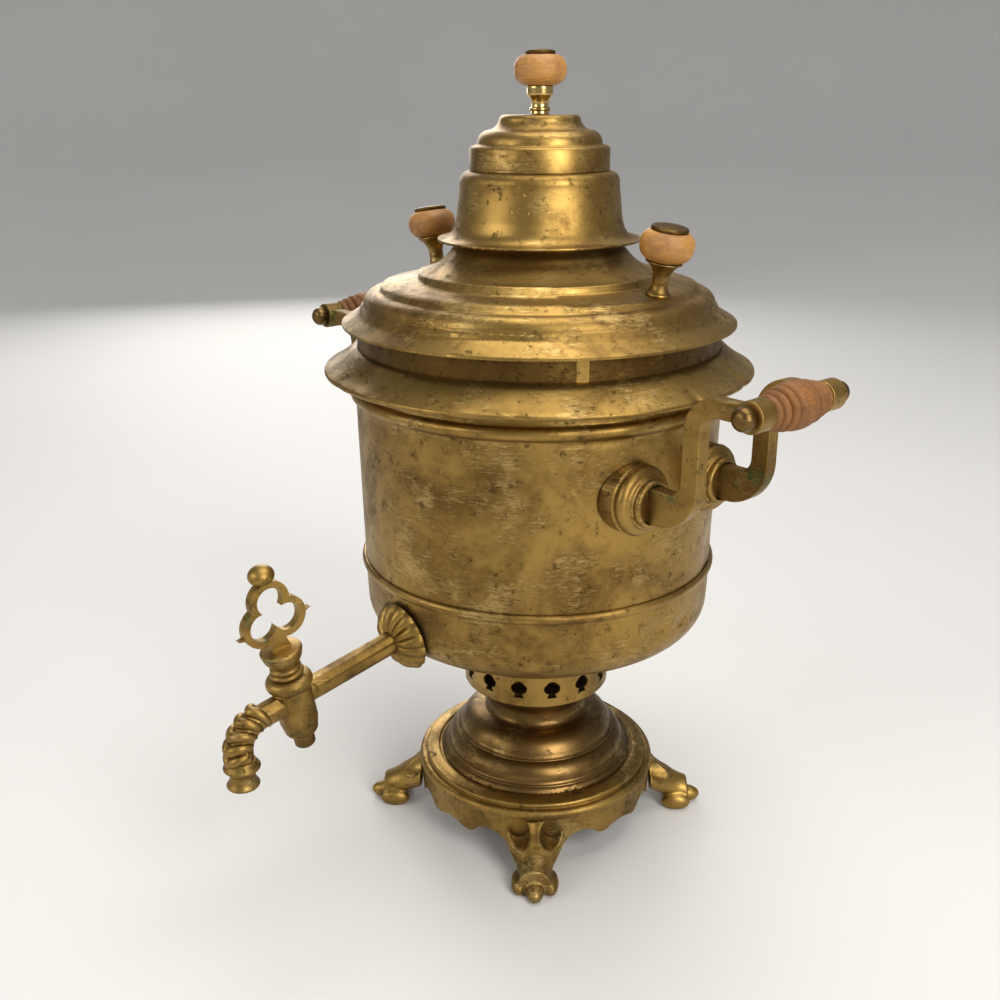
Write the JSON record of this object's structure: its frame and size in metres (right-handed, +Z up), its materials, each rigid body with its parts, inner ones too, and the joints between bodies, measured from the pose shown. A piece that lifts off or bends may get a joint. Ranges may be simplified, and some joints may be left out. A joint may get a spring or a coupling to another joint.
{
  "type": "samovar",
  "caption": "Charcoal-fired brass water urn with a tap and turning key, two handles with wooden grips, stacked lid, crown and cap, and a footed cast base.",
  "frame": {"origin": "on the floor, in the middle of the footprint between the tap and the back of the rim; the body's axis is 47.1 mm behind it", "axes": "+Z up along the body's axis; the tap points to -Y; the side handles stand at +X and -X"},
  "size_m": [0.3682, 0.3387, 0.4613],
  "materials": {
    "aged_brass": "aged spun sheet, satin with brown patina",
    "cast_brass": "aged casting, brighter on worn ridges",
    "coppery_brass": "brown, coppery patina",
    "bright_brass": "bright, polished by handling",
    "sooted_brass": "sheet darkened by soot",
    "pale_wood": "light turned wood, satin",
    "worn_wood": "orange-brown turned wood, worn",
    "grate_iron": "rough, burnt"
  },
  "bodies": {
    "urn": {"base_plate": "cast_brass", "foot_front_right": "cast_brass", "foot_front_left": "cast_brass", "foot_rear_right": "cast_brass", "foot_rear_left": "cast_brass", "pedestal": "coppery_brass", "air_collar": "aged_brass", "grate": "grate_iron", "fire_tube": "sooted_brass", "bowl": "aged_brass", "body_wall": "aged_brass", "bead_band": "aged_brass", "rim_flare": "aged_brass", "throat": "aged_brass", "arm_right_front": "cast_brass", "boss_right_front": "cast_brass", "arm_right_rear": "cast_brass", "boss_right_rear": "cast_brass", "rod_right": "coppery_brass", "arm_left_front": "cast_brass", "boss_left_front": "cast_brass", "arm_left_rear": "cast_brass", "boss_left_rear": "cast_brass", "rod_left": "coppery_brass", "tap_body": "cast_brass", "rosette": "cast_brass", "tap_nut": "cast_brass"},
    "lid": {"lid": "aged_brass", "lid_skirt": "aged_brass", "knob_stem_right": "aged_brass", "knob_ball_right": "pale_wood", "knob_button_right": "aged_brass", "knob_nut_right": "aged_brass", "knob_stem_left": "aged_brass", "knob_ball_left": "pale_wood", "knob_button_left": "aged_brass", "knob_nut_left": "aged_brass"},
    "crown": {"crown": "aged_brass"},
    "cap": {"cap": "aged_brass", "cap_spigot": "aged_brass", "finial_stem": "bright_brass", "finial_ball": "pale_wood", "finial_button": "aged_brass", "finial_nut": "aged_brass"},
    "tap_key": {"tap_key": "cast_brass"},
    "grip_right": {"grip_right": "worn_wood"},
    "grip_left": {"grip_left": "worn_wood"}
  },
  "joints": [
    {"name": "lid_lift", "type": "slide", "parent": "urn", "child": "lid", "axis": [0, 0, 1], "range_m": [0, 0.12]},
    {"name": "crown_lift", "type": "slide", "parent": "lid", "child": "crown", "axis": [0, 0, 1], "range_m": [0, 0.06]},
    {"name": "cap_lift", "type": "slide", "parent": "crown", "child": "cap", "axis": [0, 0, 1], "range_m": [0, 0.04]},
    {"name": "tap_turn", "type": "hinge", "parent": "urn", "child": "tap_key", "pos_m": [0, -0.12709, 0.14092], "axis": [0, -0.1736, 0.9848], "continuous": true},
    {"name": "grip_right_spin", "type": "hinge", "parent": "urn", "child": "grip_right", "pos_m": [0.1723, 0.0471, 0.3022], "axis": [0, 1, 0], "continuous": true},
    {"name": "grip_left_spin", "type": "hinge", "parent": "urn", "child": "grip_left", "pos_m": [-0.1723, 0.0471, 0.3022], "axis": [0, 1, 0], "continuous": true}
  ]
}
